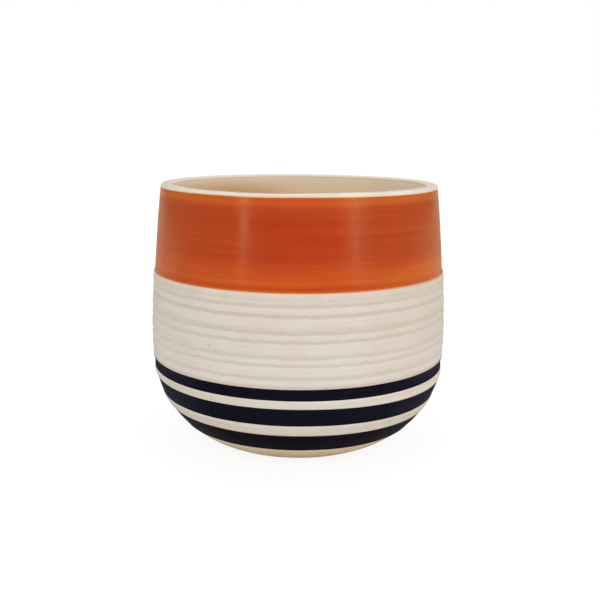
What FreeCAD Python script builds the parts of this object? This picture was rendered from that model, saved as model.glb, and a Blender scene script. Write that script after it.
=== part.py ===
import FreeCAD, Part
import math
import os

# A glazed earthenware cachepot, the cover that hides a plastic grow pot.
#
# The clay body is one turned shell. White slip coats its outside, smooth under the stripes and
# under the orange band, and ribbed between them. The orange glaze, three navy stripes, a white
# glazed lip and a glazed inside are fired on, and each coat is a solid that fits the one under it.
#
# Millimetres. +Z is up and the pot is round about the Z axis. The origin is the middle of the
# foot, on the surface that the pot stands on.
#
# The wall line is the outside of the pot in section, drawn through the crests of the ribs. Three
# arcs make it, each in line with the next. A depth is a distance inside the wall line, square to it.

# Wall line
BELLY_RADIUS = 75.0
BELLY_RISE = 12.5
BELLY_ARC_RADIUS = 174.0
BELLY_ARC_BELOW = 15.0
BELLY_ARC_ABOVE = 6.0
MOUTH_INSET = 5.1
FOOT_INSET = 33.8

# Heights of the zones, from the foot upwards
BARE_CLAY_HEIGHT = 10.8
LOWER_STRIPE_HEIGHT = 9.8
LOWER_GAP_HEIGHT = 5.8
MIDDLE_STRIPE_HEIGHT = 8.9
UPPER_GAP_HEIGHT = 4.3
UPPER_STRIPE_HEIGHT = 5.3
RIBBED_HEIGHT = 43.4
ORANGE_BAND_HEIGHT = 41.5
LIP_SKIRT_HEIGHT = 0.3
LIP_ROUND = 1.2

# Ribs: how deep the grooves between them are, and where they lie from the lowest rib up
GROOVE_DEPTH = 0.45
TOP_RIB_ROLL = 0.15
GROOVE_HEIGHT_SHARES = (0.08, 0.215, 0.31, 0.455, 0.56, 0.725, 0.835)

# Wall, floor and foot
WALL_THICKNESS = 6.6
LEDGE_DEPTH = 0.75
FLOOR_THICKNESS = 9.0
FLOOR_CORNER_RADIUS = 15.0
FOOT_RING_WIDTH = 5.0
FOOT_RECESS_DEPTH = 2.0
FOOT_RECESS_SLOPE = 2.5

# Coats
SLIP_THICKNESS = 0.35
ORANGE_THICKNESS = 0.4
STRIPE_THICKNESS = 0.2
LINER_THICKNESS = 0.4
LIP_GLAZE_THICKNESS = 0.4
CLAY_LIP_ROUND_SHARE = 0.5

UP = FreeCAD.Vector(0, 0, 1)
AXIS_FOOT = FreeCAD.Vector(0, 0, 0)
FULL_TURN = 360.0
HALF_RIGHT_ANGLE = math.pi / 4

# Heights that follow from the sizes above
LOWER_STRIPE_LOW = BARE_CLAY_HEIGHT
LOWER_STRIPE_HIGH = LOWER_STRIPE_LOW + LOWER_STRIPE_HEIGHT
MIDDLE_STRIPE_LOW = LOWER_STRIPE_HIGH + LOWER_GAP_HEIGHT
MIDDLE_STRIPE_HIGH = MIDDLE_STRIPE_LOW + MIDDLE_STRIPE_HEIGHT
UPPER_STRIPE_LOW = MIDDLE_STRIPE_HIGH + UPPER_GAP_HEIGHT
UPPER_STRIPE_HIGH = UPPER_STRIPE_LOW + UPPER_STRIPE_HEIGHT
RIBS_LOW = UPPER_STRIPE_HIGH
BELLY_HEIGHT = RIBS_LOW + BELLY_RISE
ORANGE_LOW = RIBS_LOW + RIBBED_HEIGHT
ORANGE_HIGH = ORANGE_LOW + ORANGE_BAND_HEIGHT
POT_HEIGHT = ORANGE_HIGH + LIP_SKIRT_HEIGHT + LIP_ROUND
CLAY_LIP_HEIGHT = POT_HEIGHT - LIP_GLAZE_THICKNESS
CLAY_FLOOR_HEIGHT = FLOOR_THICKNESS - LINER_THICKNESS
LOWER_STRIPE_EDGES = (LOWER_STRIPE_LOW, LOWER_STRIPE_HIGH)
MIDDLE_STRIPE_EDGES = (MIDDLE_STRIPE_LOW, MIDDLE_STRIPE_HIGH)
UPPER_STRIPE_EDGES = (UPPER_STRIPE_LOW, UPPER_STRIPE_HIGH)

# Depths of the faces where one coat meets the next
STRIPED_SLIP_DEPTH = STRIPE_THICKNESS
STRIPED_CLAY_DEPTH = STRIPED_SLIP_DEPTH + SLIP_THICKNESS
BANDED_SLIP_DEPTH = LEDGE_DEPTH + ORANGE_THICKNESS
BANDED_CLAY_DEPTH = BANDED_SLIP_DEPTH + SLIP_THICKNESS
INNER_CLAY_DEPTH = WALL_THICKNESS - LINER_THICKNESS
CLAY_LIP_ROUND = LIP_ROUND * CLAY_LIP_ROUND_SHARE


class WallArc:
    """One stretch of the wall line, part of a circle. It bulges outwards if its radius is positive."""

    def __init__(self, centre_across, centre_height, radius):
        self.centre_across = centre_across
        self.centre_height = centre_height
        self.radius = radius

    def normal_at(self, height):
        """Which way is outwards, as (across, up), at a height on the wall line."""
        up = (height - self.centre_height) / self.radius
        return math.sqrt(1 - up ** 2), up

    def across_at(self, height, depth):
        """How far the wall is from the axis, at a height and a depth."""
        reach = self.radius - depth
        rise = height - self.centre_height
        return self.centre_across + math.copysign(math.sqrt(reach ** 2 - rise ** 2), reach)


def arc_leaving(belly, leave_height, end_across, end_height):
    """The arc that leaves the belly arc at leave_height, in line with it, for the given end."""
    out, up = belly.normal_at(leave_height)
    start_across = belly.centre_across + belly.radius * out
    chord_across = end_across - start_across
    chord_up = end_height - leave_height
    chord_squared = chord_across ** 2 + chord_up ** 2
    radius = -chord_squared / (2 * (chord_across * out + chord_up * up))
    return WallArc(start_across - radius * out, leave_height - radius * up, radius)


LOWER_LEAVE_HEIGHT = BELLY_HEIGHT - BELLY_ARC_BELOW
UPPER_LEAVE_HEIGHT = BELLY_HEIGHT + BELLY_ARC_ABOVE
BELLY_ARC = WallArc(BELLY_RADIUS - BELLY_ARC_RADIUS, BELLY_HEIGHT, BELLY_ARC_RADIUS)
LOWER_ARC = arc_leaving(BELLY_ARC, LOWER_LEAVE_HEIGHT, BELLY_RADIUS - FOOT_INSET, 0)
UPPER_ARC = arc_leaving(BELLY_ARC, UPPER_LEAVE_HEIGHT, BELLY_RADIUS - MOUTH_INSET, POT_HEIGHT)


def arc_change_heights(depth):
    """The two heights where the wall passes from one of its arcs to the next, at a depth."""
    leaves = (LOWER_LEAVE_HEIGHT, UPPER_LEAVE_HEIGHT)
    return [leave - depth * BELLY_ARC.normal_at(leave)[1] for leave in leaves]


def wall_point(height, depth):
    """The point of the section at a height and a depth."""
    lower_change, upper_change = arc_change_heights(depth)
    arc = BELLY_ARC
    if height < lower_change:
        arc = LOWER_ARC
    if height > upper_change:
        arc = UPPER_ARC
    return FreeCAD.Vector(arc.across_at(height, depth), 0, height)


def straight(start, end):
    return Part.LineSegment(start, end).toShape()


def curved(start, middle, end):
    return Part.Arc(start, middle, end).toShape()


def level_line(height, outer_depth, inner_depth):
    """A level edge through the wall, from one depth to another."""
    return straight(wall_point(height, outer_depth), wall_point(height, inner_depth))


def wall_edges(low, high, depth):
    """The edges that follow the wall line from low up to high, at a depth."""
    changes = [height for height in arc_change_heights(depth) if low < height < high]
    stops = [low] + changes + [high]
    edges = []
    for start, end in zip(stops, stops[1:]):
        middle = (start + end) / 2
        edges.append(curved(*(wall_point(height, depth) for height in (start, middle, end))))
    return edges


def striped_edges(depth):
    """The wall from the lowest stripe up to the ribs, at a depth, parted at the edges of the stripes."""
    stops = LOWER_STRIPE_EDGES + MIDDLE_STRIPE_EDGES + UPPER_STRIPE_EDGES
    edges = []
    for low, high in zip(stops, stops[1:]):
        edges += wall_edges(low, high, depth)
    return edges


def rib_edges(depth):
    """One rounded edge for each rib, from the top stripe up to the ledge, at a depth in the slip."""
    valleys = [(RIBS_LOW, depth + STRIPED_SLIP_DEPTH)]
    for share in GROOVE_HEIGHT_SHARES:
        valleys.append((RIBS_LOW + share * RIBBED_HEIGHT, depth + GROOVE_DEPTH))
    valleys.append((ORANGE_LOW - depth, depth + TOP_RIB_ROLL))
    edges = []
    for (low, low_depth), (high, high_depth) in zip(valleys, valleys[1:]):
        crest = wall_point((low + high) / 2, depth)
        edges.append(curved(wall_point(low, low_depth), crest, wall_point(high, high_depth)))
    return edges


def outside_edges(striped_depth, rib_depth, banded_depth):
    """The outside from the lowest stripe up to the lip, with the ledge under the orange band."""
    ledge_height = ORANGE_LOW - rib_depth
    return (
        striped_edges(striped_depth)
        + rib_edges(rib_depth)
        + [level_line(ledge_height, rib_depth + TOP_RIB_ROLL, banded_depth)]
        + wall_edges(ledge_height, ORANGE_HIGH, banded_depth)
    )


def lip_corner(side, inward, radius):
    """The rounded edge from the side of the lip to its top, where inward is 1 or -1 across the wall."""
    middle_reach = radius * (1 - math.cos(HALF_RIGHT_ANGLE))
    middle_rise = radius * math.sin(HALF_RIGHT_ANGLE)
    middle = side + FreeCAD.Vector(inward * middle_reach, 0, middle_rise)
    return side, middle, side + FreeCAD.Vector(inward * radius, 0, radius)


def lip_edges(outer_depth, inner_depth, top_height, radius):
    """Over the lip, from the top of the orange band outside to the same height inside."""
    side_height = top_height - radius
    outer = lip_corner(wall_point(side_height, outer_depth), -1, radius)
    inner = lip_corner(wall_point(side_height, inner_depth), 1, radius)
    return (
        wall_edges(ORANGE_HIGH, side_height, outer_depth)
        + [curved(*outer), straight(outer[-1], inner[-1]), curved(*inner)]
        + wall_edges(ORANGE_HIGH, side_height, inner_depth)
    )


def inside_edges(depth, floor_height, corner_radius):
    """The inside from the lip down the wall, round the corner, and along the floor to the axis."""
    centre_height = floor_height + corner_radius
    drop = LOWER_ARC.centre_height - centre_height
    run = math.sqrt((LOWER_ARC.radius - depth - corner_radius) ** 2 - drop ** 2)
    centre = FreeCAD.Vector(LOWER_ARC.centre_across + run, 0, centre_height)
    to_wall = FreeCAD.Vector(run, 0, -drop).normalize()
    between = (to_wall - UP).normalize()
    wall_end = centre + to_wall * corner_radius
    floor_end = centre - UP * corner_radius
    return (
        wall_edges(wall_end.z, ORANGE_HIGH, depth)
        + [curved(wall_end, centre + between * corner_radius, floor_end)]
        + [straight(floor_end, UP * floor_height)]
    )


def foot_edges():
    """From the axis along the recess, down to the foot ring, and up the bare wall to the slip."""
    ring_outside = wall_point(0, STRIPED_SLIP_DEPTH)
    ring_inside = FreeCAD.Vector(ring_outside.x - FOOT_RING_WIDTH, 0, 0)
    recess_edge = FreeCAD.Vector(ring_inside.x - FOOT_RECESS_SLOPE, 0, FOOT_RECESS_DEPTH)
    recess = [straight(UP * FOOT_RECESS_DEPTH, recess_edge), straight(recess_edge, ring_inside)]
    bare_wall = wall_edges(0, LOWER_STRIPE_LOW, STRIPED_SLIP_DEPTH)
    slip_step = level_line(LOWER_STRIPE_LOW, STRIPED_SLIP_DEPTH, STRIPED_CLAY_DEPTH)
    return recess + [straight(ring_inside, ring_outside)] + bare_wall + [slip_step]


def clay_outside_edges():
    return outside_edges(STRIPED_CLAY_DEPTH, SLIP_THICKNESS, BANDED_CLAY_DEPTH)


def clay_lip_edges():
    return lip_edges(BANDED_CLAY_DEPTH, INNER_CLAY_DEPTH, CLAY_LIP_HEIGHT, CLAY_LIP_ROUND)


def clay_inside_edges():
    return inside_edges(INNER_CLAY_DEPTH, CLAY_FLOOR_HEIGHT, FLOOR_CORNER_RADIUS)


def turned(edges):
    """The solid that a closed section makes when it turns about the pot's axis."""
    section = Part.Face(Part.Wire(Part.__sortEdges__(edges)))
    solid = section.revolve(AXIS_FOOT, UP, FULL_TURN)
    return solid if solid.Volume > 0 else solid.reversed()


def clay_body():
    """The turned shell of buff earthenware, bare at its foot."""
    axis = [straight(UP * FOOT_RECESS_DEPTH, UP * CLAY_FLOOR_HEIGHT)]
    return turned(foot_edges() + clay_outside_edges() + clay_lip_edges() + clay_inside_edges() + axis)


def white_slip():
    """The matt white coat over the outside, from the lowest stripe up to the lip."""
    ends = [
        level_line(LOWER_STRIPE_LOW, STRIPED_SLIP_DEPTH, STRIPED_CLAY_DEPTH),
        level_line(ORANGE_HIGH, BANDED_SLIP_DEPTH, BANDED_CLAY_DEPTH),
    ]
    surface = outside_edges(STRIPED_SLIP_DEPTH, 0, BANDED_SLIP_DEPTH)
    return turned(surface + clay_outside_edges() + ends)


def band(low, high, outer_depth, inner_depth):
    """A plain coat round the outside, between two heights and two depths."""
    ends = [level_line(height, outer_depth, inner_depth) for height in (low, high)]
    return turned(wall_edges(low, high, outer_depth) + wall_edges(low, high, inner_depth) + ends)


def orange_glaze_band():
    return band(ORANGE_LOW, ORANGE_HIGH, LEDGE_DEPTH, BANDED_SLIP_DEPTH)


def navy_stripe(stripe_edges):
    low, high = stripe_edges
    return band(low, high, 0, STRIPED_SLIP_DEPTH)


def lip_glaze():
    """The white gloss over the lip, which meets the orange band outside and the liner inside."""
    ends = [
        level_line(ORANGE_HIGH, LEDGE_DEPTH, BANDED_CLAY_DEPTH),
        level_line(ORANGE_HIGH, INNER_CLAY_DEPTH, WALL_THICKNESS),
    ]
    surface = lip_edges(LEDGE_DEPTH, WALL_THICKNESS, POT_HEIGHT, LIP_ROUND)
    return turned(surface + clay_lip_edges() + ends)


def liner_glaze():
    """The coat that keeps water off the clay inside, over the wall and the floor."""
    ends = [
        level_line(ORANGE_HIGH, WALL_THICKNESS, INNER_CLAY_DEPTH),
        straight(UP * CLAY_FLOOR_HEIGHT, UP * FLOOR_THICKNESS),
    ]
    surface = inside_edges(WALL_THICKNESS, FLOOR_THICKNESS, FLOOR_CORNER_RADIUS - LINER_THICKNESS)
    return turned(surface + clay_inside_edges() + ends)


def build_parts():
    return {
        "clay_body": clay_body(),
        "white_slip": white_slip(),
        "orange_glaze_band": orange_glaze_band(),
        "upper_navy_stripe": navy_stripe(UPPER_STRIPE_EDGES),
        "middle_navy_stripe": navy_stripe(MIDDLE_STRIPE_EDGES),
        "lower_navy_stripe": navy_stripe(LOWER_STRIPE_EDGES),
        "lip_glaze": lip_glaze(),
        "liner_glaze": liner_glaze(),
    }


os.makedirs("parts", exist_ok=True)
for name, solid in build_parts().items():
    solid.exportStep("parts/" + name + ".step")
    print(name, "volume", round(solid.Volume), "cubic mm, valid", solid.isValid())
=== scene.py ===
from math import ceil, copysign, cos, pi, radians, sin, sqrt, tau

import bpy
from mathutils import Matrix, Vector


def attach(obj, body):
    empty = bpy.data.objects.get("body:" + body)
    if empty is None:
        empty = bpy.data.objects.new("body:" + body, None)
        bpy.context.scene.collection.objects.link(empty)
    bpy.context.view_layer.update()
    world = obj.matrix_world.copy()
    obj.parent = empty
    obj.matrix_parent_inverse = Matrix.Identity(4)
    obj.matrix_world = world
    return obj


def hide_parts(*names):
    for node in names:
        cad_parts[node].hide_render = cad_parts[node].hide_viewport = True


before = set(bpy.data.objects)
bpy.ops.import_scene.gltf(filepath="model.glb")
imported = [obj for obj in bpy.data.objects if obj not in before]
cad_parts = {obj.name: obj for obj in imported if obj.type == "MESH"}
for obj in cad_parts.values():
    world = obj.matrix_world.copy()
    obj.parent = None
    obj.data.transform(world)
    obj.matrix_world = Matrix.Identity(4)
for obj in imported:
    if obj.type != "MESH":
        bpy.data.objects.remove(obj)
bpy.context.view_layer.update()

scene = bpy.context.scene
scene.view_settings.view_transform = "Standard"

# Camera
# It stands where the photograph was taken from, a little above the rim, so that the mouth shows as
# a thin oval. The lens and the lean are those that bring the pot's outline onto the photograph's.
CAMERA_PLACE = (0.0, -0.4559, 0.1629)
CAMERA_LOOKS_DOWN = radians(11.44)
CAMERA_LEAN = radians(0.461)
CAMERA_SENSOR = 36.0
CAMERA_LENS = 53.78
CAMERA_SHIFT = 0.00281
CAMERA_NEAREST = 0.01

camera_data = bpy.data.cameras.new("camera")
camera_data.sensor_width = CAMERA_SENSOR
camera_data.lens = CAMERA_LENS
camera_data.shift_x = CAMERA_SHIFT
camera_data.clip_start = CAMERA_NEAREST
camera = bpy.data.objects.new("camera", camera_data)
looking = Matrix.Rotation(pi / 2 - CAMERA_LOOKS_DOWN, 3, "X")
camera.rotation_euler = (looking @ Matrix.Rotation(CAMERA_LEAN, 3, "Z")).to_euler()
camera.location = CAMERA_PLACE
scene.collection.objects.link(camera)
scene.camera = camera


# Clay body
# The turned shell of buff earthenware that carries every coat: wall, ribs, floor and foot ring. It
# is bare at the foot and underneath, matt and fine grained, with a few pits and dark specks.
MM = 0.001
BELLY_RADIUS = 75 * MM
BELLY_ARC_RADIUS = 174 * MM
BELLY_ARC_BELOW = 15 * MM
BELLY_ARC_ABOVE = 6 * MM
MOUTH_INSET = 5.1 * MM
FOOT_INSET = 33.8 * MM
LOWER_STRIPE = (10.8 * MM, 20.6 * MM)
MIDDLE_STRIPE = (26.4 * MM, 35.3 * MM)
UPPER_STRIPE = (39.6 * MM, 44.9 * MM)
ORANGE_BAND = (88.3 * MM, 129.8 * MM)
COATS_FOOT, RIBS_FOOT, RIBS_TOP = LOWER_STRIPE[0], UPPER_STRIPE[1], ORANGE_BAND[0]
BELLY_HEIGHT = 57.4 * MM
POT_HEIGHT = 131.3 * MM
SLIP_DEPTH = 0.2 * MM
SLIP_THICKNESS = 0.35 * MM
ORANGE_DEPTH = 0.75 * MM
ORANGE_THICKNESS = 0.4 * MM
WALL_THICKNESS = 6.6 * MM
LINER_THICKNESS = 0.4 * MM
FLOOR_HEIGHT = 9 * MM
FLOOR_CORNER = 15 * MM
FOOT_RING_WIDTH = 5 * MM
FOOT_RING_ROUNDS = (0.6 * MM, 0.7 * MM)
FOOT_RECESS_DEPTH = 2 * MM
FOOT_RECESS_SLOPE = 2.5 * MM
FOOT_RECESS_ROUND = 0.8 * MM
LIP_ROUND = 1.2 * MM
CLAY_LIP_ROUND = 0.6 * MM
GROOVE_HEIGHTS = [height * MM for height in (49.1, 55.2, 58.6, 65.85, 69.8, 77.3, 81.8)]
CHANNEL_DEPTHS = (0.25 * MM, 0.20 * MM, 0.35 * MM)
CHANNEL_EDGE = 1.2 * MM
BEAD_RISE = 0.22 * MM
BEAD_SHOULDER = 4
BESIDE_ROUND = 0.03 * MM
FACETS = 256


class WallArc:
    """One stretch of the wall line, part of a circle. A positive radius bulges outwards."""

    def __init__(self, centre_across, centre_height, radius):
        self.centre_across = centre_across
        self.centre_height = centre_height
        self.radius = radius

    def facing(self, height):
        """Which way is outwards, as (across, up), at a height on the wall line."""
        up = (height - self.centre_height) / self.radius
        return sqrt(1 - up ** 2), up

    def across(self, height, depth):
        """How far the wall is from the axis, at a height and a depth."""
        reach = self.radius - depth
        run = sqrt(reach ** 2 - (height - self.centre_height) ** 2)
        return self.centre_across + copysign(run, reach)


def arc_leaving(belly, leave_height, end_across, end_height):
    """The arc that leaves the belly arc at leave_height, in line with it, for the given end."""
    out, up = belly.facing(leave_height)
    start_across = belly.centre_across + belly.radius * out
    chord_across, chord_up = end_across - start_across, end_height - leave_height
    radius = -(chord_across ** 2 + chord_up ** 2) / (2 * (chord_across * out + chord_up * up))
    return WallArc(start_across - radius * out, leave_height - radius * up, radius)


belly_arc = WallArc(BELLY_RADIUS - BELLY_ARC_RADIUS, BELLY_HEIGHT, BELLY_ARC_RADIUS)
lower_leave, upper_leave = BELLY_HEIGHT - BELLY_ARC_BELOW, BELLY_HEIGHT + BELLY_ARC_ABOVE
lower_arc = arc_leaving(belly_arc, lower_leave, BELLY_RADIUS - FOOT_INSET, 0.0)
upper_arc = arc_leaving(belly_arc, upper_leave, BELLY_RADIUS - MOUTH_INSET, POT_HEIGHT)


def wall(height, depth):
    """The point of the pot's section at a height and a depth below its outer face."""
    arc = belly_arc
    if height < lower_leave - depth * belly_arc.facing(lower_leave)[1]:
        arc = lower_arc
    if height > upper_leave - depth * belly_arc.facing(upper_leave)[1]:
        arc = upper_arc
    return arc.across(height, depth), height


def wall_rows(low, high, depth, apart):
    """Points up the wall at one depth, from low to high, at most so far apart."""
    count = max(1, ceil((high - low) / apart))
    return [wall(low + (high - low) * number / count, depth) for number in range(count + 1)]


def band_rise(height):
    """How far the wall stands out among the stripes: in at each, out at the white between."""
    edges = LOWER_STRIPE + MIDDLE_STRIPE + UPPER_STRIPE
    for number, (low, high) in enumerate(zip(edges, edges[1:])):
        if low < height < high:
            if number % 2:
                bead = sin(pi * (height - low) / (high - low))
                return BEAD_RISE * bead + SLIP_DEPTH * min(1.0, bead * BEAD_SHOULDER)
            from_edge = min(1.0, min(height - low, high - height) / CHANNEL_EDGE)
            return -CHANNEL_DEPTHS[number // 2] * from_edge ** 2 * (3 - 2 * from_edge)
    return 0.0


def banded_rows(low, high, depth, apart):
    """Points up the stripes, which lie in shallow channels between rounded white bands."""
    heights = [height for _, height in wall_rows(low, high, depth, apart)]
    return [wall(height, depth - band_rise(height)) for height in heights]


def rib_rows(depth, apart):
    """Points up the ribs, with a row in the bottom of each groove."""
    marks = [RIBS_FOOT] + GROOVE_HEIGHTS + [RIBS_TOP - depth]
    rows = []
    for low, high in zip(marks, marks[1:]):
        rows += wall_rows(low, high, depth, apart)
    return rows


def softened(points, steps=4):
    """The outline, with each corner that has a third number rounded off by that much.

    A row close beside each end of the round keeps the faces next to it from shading like it."""
    outline = []
    for number, point in enumerate(points):
        corner = Vector(point[:2])
        if len(point) == 2:
            outline.append(corner)
            continue
        before, after = points[number - 1][:2], points[(number + 1) % len(points)][:2]
        to_before = (Vector(before) - corner).normalized()
        to_after = (Vector(after) - corner).normalized()
        start, end = corner + to_before * point[2], corner + to_after * point[2]
        outline.append(start + to_before * BESIDE_ROUND)
        for step in range(steps + 1):
            along = step / steps
            bend = corner * 2 * along * (1 - along)
            outline.append(start * (1 - along) ** 2 + bend + end * along ** 2)
        outline.append(end + to_after * BESIDE_ROUND)
    return outline


def lip_round(side, inward, radius, steps=8):
    """The quarter round from the side of the lip up to its top, where inward is 1 or -1."""
    turns = [pi / 2 * step / steps for step in range(steps + 1)]
    return [(side[0] + inward * radius * (1 - cos(turn)), side[1] + radius * sin(turn))
            for turn in turns]


def lip_rows(outer_depth, inner_depth, top, radius):
    """Over the lip, from the top of the orange band outside to the same height inside."""
    side, start = top - radius, ORANGE_BAND[1]
    outer = lip_round(wall(side, outer_depth), -1, radius)
    inner = lip_round(wall(side, inner_depth), 1, radius)
    return [wall(start, outer_depth)] + outer + inner[::-1] + [wall(start, inner_depth)]


def inside_rows(depth, floor, apart, corner_steps=14, floor_rings=12):
    """The inside, from the lip down the wall, round the corner, and along the floor to the axis."""
    centre_height = floor + FLOOR_CORNER
    drop = lower_arc.centre_height - centre_height
    run = sqrt((lower_arc.radius - depth - FLOOR_CORNER) ** 2 - drop ** 2)
    centre = Vector((lower_arc.centre_across + run, centre_height))
    out, up = Vector((run, -drop)).normalized()
    wall_end = centre + Vector((out, up)) * FLOOR_CORNER
    rows = wall_rows(wall_end.y, ORANGE_BAND[1], depth, apart)[::-1]
    corner_turn = Vector((out, up)).angle(Vector((0, -1)))
    for step in range(1, corner_steps + 1):
        turn = corner_turn * step / corner_steps
        way = Vector((out * cos(turn) + up * sin(turn), up * cos(turn) - out * sin(turn)))
        rows.append(tuple(centre + way * FLOOR_CORNER))
    floor_edge = rows[-1][0]
    return rows + [(floor_edge * (1 - ring / floor_rings), floor)
                   for ring in range(1, floor_rings + 1)]


class Bench:
    """A node tree while it is put together. Inputs are plain values or other nodes' outputs."""

    def __init__(self, tree):
        self.tree = tree

    def node(self, kind, feeds=None, **settings):
        node = self.tree.nodes.new(kind)
        for name, value in settings.items():
            setattr(node, name, value)
        for name, value in (feeds or {}).items():
            self.feed(node.inputs[name], value)
        return node

    def out(self, kind, feeds=None, **settings):
        return self.node(kind, feeds, **settings).outputs[0]

    def feed(self, socket, value):
        if isinstance(value, bpy.types.NodeSocket):
            self.tree.links.new(value, socket)
        else:
            socket.default_value = value

    def sum(self, operation, *values, clamp=False):
        feeds = dict(enumerate(values))
        return self.out("ShaderNodeMath", feeds, operation=operation, use_clamp=clamp)

    def times(self, value, *others):
        for other in others:
            value = self.sum("MULTIPLY", value, other)
        return value

    def plus(self, value, *others):
        for other in others:
            value = self.sum("ADD", value, other)
        return value

    def less(self, value, taken):
        return self.sum("SUBTRACT", value, taken)

    def beside(self, value, mark):
        """How far a value is from a mark, either way."""
        return self.sum("ABSOLUTE", self.less(value, mark))

    def between(self, value, low, high, at_low=0.0, at_high=1.0, ease="SMOOTHSTEP"):
        """Goes from at_low to at_high as the value goes from low to high."""
        feeds = {0: value, 1: low, 2: high, 3: at_low, 4: at_high}
        return self.out("ShaderNodeMapRange", feeds, interpolation_type=ease)

    def within(self, value, rising, falling):
        """1 in a zone and 0 outside it, rising at one edge and falling at the other."""
        return self.times(self.between(value, *rising), self.between(value, *falling))

    def vector_sum(self, operation, *values):
        node = self.node("ShaderNodeVectorMath", operation=operation)
        sockets = [node.inputs["Scale"] if operation == "SCALE" and number else node.inputs[number]
                   for number in range(len(values))]
        for socket, value in zip(sockets, values):
            self.feed(socket, value)
        return node.outputs["Value" if operation in ("LENGTH", "DISTANCE") else "Vector"]

    def parts_of(self, vector):
        node = self.node("ShaderNodeSeparateXYZ", {0: vector})
        return node.outputs[0], node.outputs[1], node.outputs[2]

    def joined(self, across, along, up):
        return self.out("ShaderNodeCombineXYZ", {0: across, 1: along, 2: up})

    def upright(self, up):
        return self.joined(0.0, 0.0, up)

    def from_axis(self, place):
        """Which way is outwards at a place, and how far the place is from the axis."""
        x, y, _ = self.parts_of(place)
        flat = self.joined(x, y, 0.0)
        return self.vector_sum("NORMALIZE", flat), self.vector_sum("LENGTH", flat)

    def to_side(self, outwards):
        """0 in front and behind, and 1 at the left and right."""
        return self.sum("ABSOLUTE", self.parts_of(outwards)[0])

    def reaching(self, outwards, out, up):
        """So far outwards and so far up, as one vector."""
        return self.vector_sum("ADD", self.vector_sum("SCALE", outwards, out), self.upright(up))

    def blend(self, share, low, high):
        return self.out("ShaderNodeMix", {0: share, 2: low, 3: high})

    def tint(self, share, low, high):
        feeds = {0: share, 6: low, 7: high}
        return self.node("ShaderNodeMix", feeds, data_type="RGBA").outputs[2]

    def noise(self, place, scale, seed, detail=2.0, rough=0.5):
        feeds = {"Vector": place, "W": seed, "Scale": scale, "Detail": detail, "Roughness": rough}
        return self.out("ShaderNodeTexNoise", feeds, noise_dimensions="4D")

    def centred(self, noise):
        """Noise that goes from 0 to 1, moved to go as far below 0 as above."""
        return self.less(noise, 0.5)

    def sample(self, geometry, value, index):
        feeds = {"Geometry": geometry, "Value": value, "Index": index}
        node = self.node("GeometryNodeSampleIndex", feeds, data_type="FLOAT_VECTOR", clamp=True)
        return node.outputs["Value"]

    def shaped(self, kind, shape, feeds=None, **settings):
        """The shape after one more geometry node."""
        node = self.node(f"GeometryNode{kind}", feeds, **settings)
        self.feed(node.inputs[0], shape)
        return node.outputs[0]


INPUT_KINDS = {"Facets": "Int", "Finish": "Material"}


def new_tree(name, sizes):
    """A bench with a new geometry tree, and its named inputs: numbers, if not in INPUT_KINDS."""
    tree = bpy.data.node_groups.new(name, "GeometryNodeTree")
    tree.interface.new_socket("Geometry", in_out="INPUT", socket_type="NodeSocketGeometry")
    for size in sizes:
        kind = INPUT_KINDS.get(size, "Float")
        tree.interface.new_socket(size, in_out="INPUT", socket_type=f"NodeSocket{kind}")
    tree.interface.new_socket("Geometry", in_out="OUTPUT", socket_type="NodeSocketGeometry")
    return Bench(tree), tree.nodes.new("NodeGroupInput").outputs


def close_tree(bench, shape, finish):
    """Ends a geometry tree, with its shape made real and its finish on it."""
    shape = bench.shaped("RealizeInstances", shape)
    shape = bench.shaped("SetMaterial", shape, {"Material": finish})
    bench.node("NodeGroupOutput", {0: shape})
    return bench.tree


RIGHT_RISE = 0.45 * MM
RISING_ROWS = ((46 * MM, 60 * MM), (110 * MM, 90 * MM))


def right_rise(bench, outwards, z):
    """How far the ribs rise towards the right, because the pot isn't quite true on its axis."""
    to_right = bench.between(bench.parts_of(outwards)[0], 0.0, 1.0, 0.0, RIGHT_RISE)
    return bench.times(bench.within(z, *RISING_ROWS), to_right)


SAME_PLACE = 1e-7
CREASE_ANGLE = radians(50)
NEAR_AXIS = (5 * MM, 30 * MM)
LEANING_ROWS = ((2 * MM, 20 * MM, 0.6), (27 * MM, 34 * MM, 0.4))
LEAN_ENDS = (41 * MM, 35.5 * MM)
LOW_RIM_WAY = (-0.259, -0.966, 0.0)
LOW_RIM_REACH = (0.05, 0.30)
LOW_RIM_ROWS = (118 * MM, 128 * MM)
LOW_RIM = 0.24 * MM
EDGE_SEED = 7.0


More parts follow.
